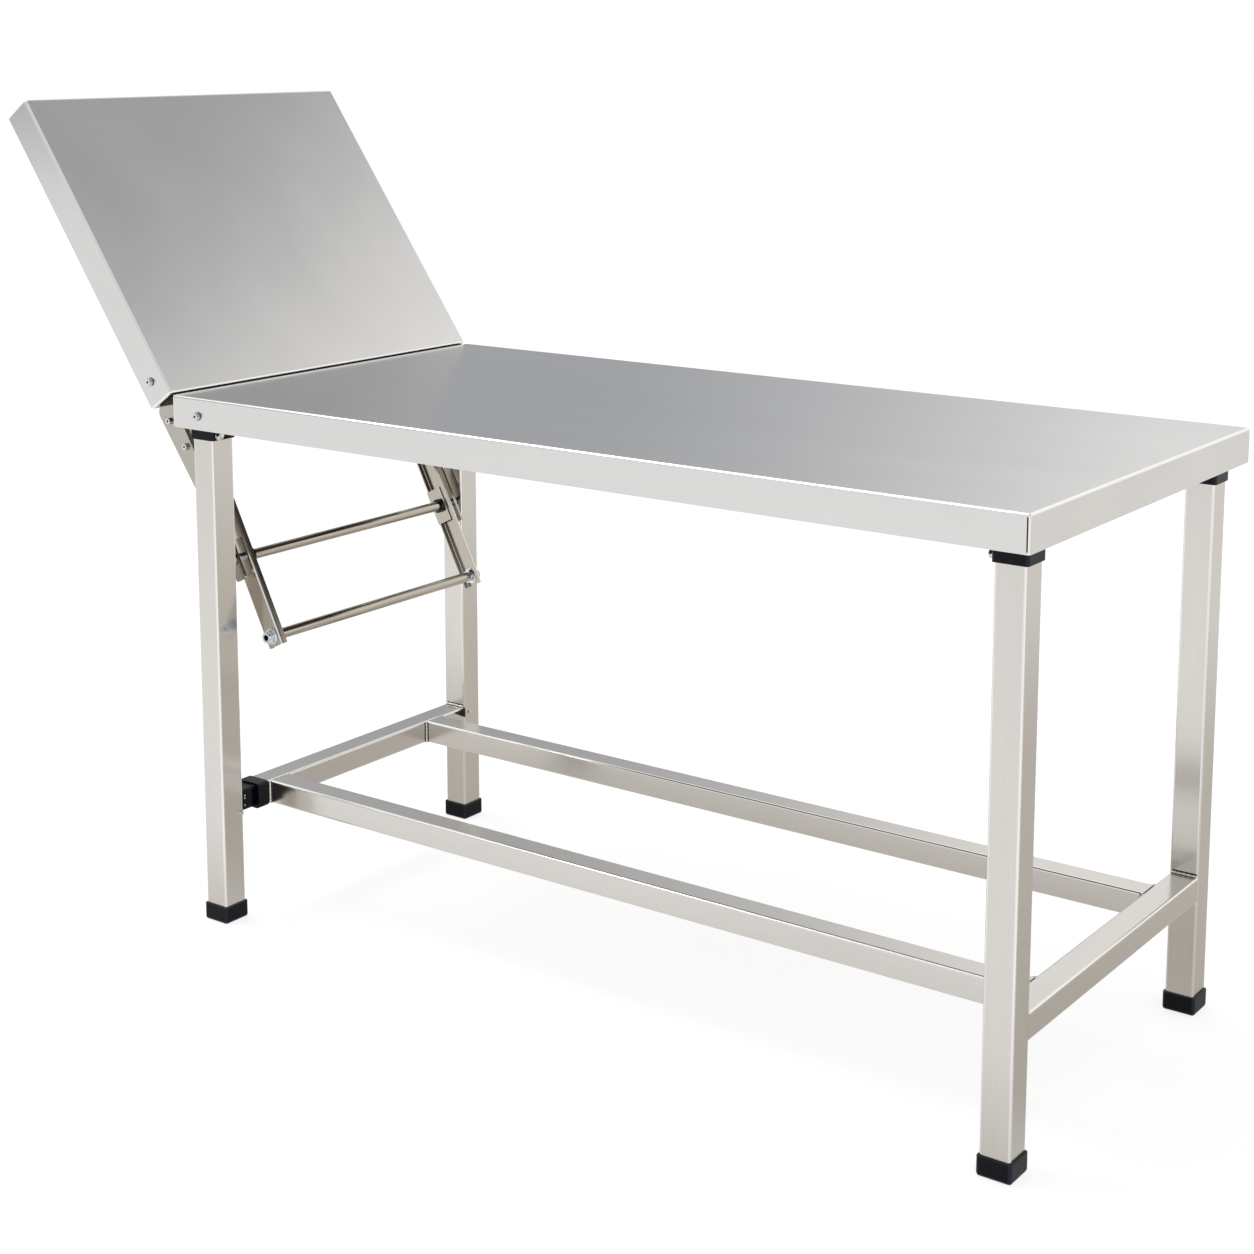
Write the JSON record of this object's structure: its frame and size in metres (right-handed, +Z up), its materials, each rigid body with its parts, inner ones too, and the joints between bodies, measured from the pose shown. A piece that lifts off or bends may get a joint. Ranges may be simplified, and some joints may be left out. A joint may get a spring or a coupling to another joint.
{
  "type": "examination table",
  "caption": "Stainless steel examination table on square legs, with a hinged backrest held by a sliding stay linkage and an open lower frame.",
  "frame": {"origin": "on the floor, under the middle of the whole table's box, with the backrest raised as in the picture", "axes": "+X along the table's length towards the foot end, +Y across its width towards the far side of the picture, +Z up"},
  "size_m": [1.676, 0.6616, 1.2068],
  "materials": {
    "sheet_steel": "satin brushed stainless sheet",
    "tube_steel": "satin brushed stainless tube",
    "plate_steel": "satin stainless plate",
    "polished_rod": "polished rod",
    "zinc_fastener": "bright zinc plated",
    "black_nylon": "satin black nylon"
  },
  "bodies": {
    "table_frame": {"main_top": "sheet_steel", "top_side_rail_near": "tube_steel", "top_side_rail_far": "tube_steel", "top_cross_rail_head": "tube_steel", "top_cross_rail_middle": "tube_steel", "top_cross_rail_foot": "tube_steel", "leg_near_head": "tube_steel", "leg_far_head": "tube_steel", "leg_near_foot": "tube_steel", "leg_far_foot": "tube_steel", "leg_collar_near_head": "black_nylon", "leg_collar_near_foot": "black_nylon", "leg_collar_far_head": "black_nylon", "leg_collar_far_foot": "black_nylon", "foot_cap_near_head": "black_nylon", "foot_cap_near_foot": "black_nylon", "foot_cap_far_head": "black_nylon", "foot_cap_far_foot": "black_nylon", "crossbar_joint": "black_nylon", "crossbar_head": "tube_steel", "crossbar_foot": "tube_steel", "stretcher_near": "tube_steel", "stretcher_far": "tube_steel", "hinge_leaf_main": "plate_steel", "hinge_pin": "polished_rod", "main_corner_bracket_near": "plate_steel", "main_corner_bracket_far": "plate_steel", "main_corner_bolt_near": "zinc_fastener", "main_corner_bolt_far": "zinc_fastener", "stay_bracket_near": "plate_steel", "stay_bracket_far": "plate_steel", "stay_pivot_bolt_near": "zinc_fastener", "stay_pivot_bolt_far": "zinc_fastener"},
    "backrest": {"backrest_panel": "sheet_steel", "backrest_rail_near": "tube_steel", "backrest_rail_far": "tube_steel", "backrest_cross_rail": "tube_steel", "hinge_leaf_back": "plate_steel", "back_corner_bracket_near": "plate_steel", "back_corner_bracket_far": "plate_steel", "back_corner_bolt_near": "zinc_fastener", "back_corner_bolt_far": "zinc_fastener", "backrest_gusset_near": "plate_steel", "backrest_gusset_far": "plate_steel", "support_arm_near": "plate_steel", "support_arm_far": "plate_steel", "arm_bolt_near_1": "zinc_fastener", "arm_bolt_near_2": "zinc_fastener", "arm_bolt_far_1": "zinc_fastener", "arm_bolt_far_2": "zinc_fastener"},
    "slide_sleeves": {"stay_sleeve_near": "plate_steel", "stay_sleeve_far": "plate_steel", "sleeve_pivot_bolt_near": "zinc_fastener", "sleeve_pivot_bolt_far": "zinc_fastener", "upper_cross_rod": "polished_rod"},
    "stay_frame": {"stay_bar_near": "plate_steel", "stay_bar_far": "plate_steel", "lower_cross_rod": "polished_rod"}
  },
  "joints": [
    {"name": "backrest_hinge", "type": "hinge", "parent": "table_frame", "child": "backrest", "pos_m": [-0.50679, 0, 0.7902], "axis": [0, 1, 0], "range_deg": [-54.5, 10.5]},
    {"name": "sleeve_pivot", "type": "hinge", "parent": "backrest", "child": "slide_sleeves", "pos_m": [-0.47001, 0, 0.54301], "axis": [0, 1, 0], "range_deg": [-1, 2]},
    {"name": "stay_slide", "type": "slide", "parent": "slide_sleeves", "child": "stay_frame", "axis": [-0.4546, 0, 0.8907], "range_m": [-0.016, 0.078]}
  ],
  "couplings": [
    {"joint": "sleeve_pivot", "follows": "backrest_hinge", "ratio": -0.028},
    {"joint": "stay_slide", "follows": "backrest_hinge", "m_per_rad": -0.078}
  ]
}
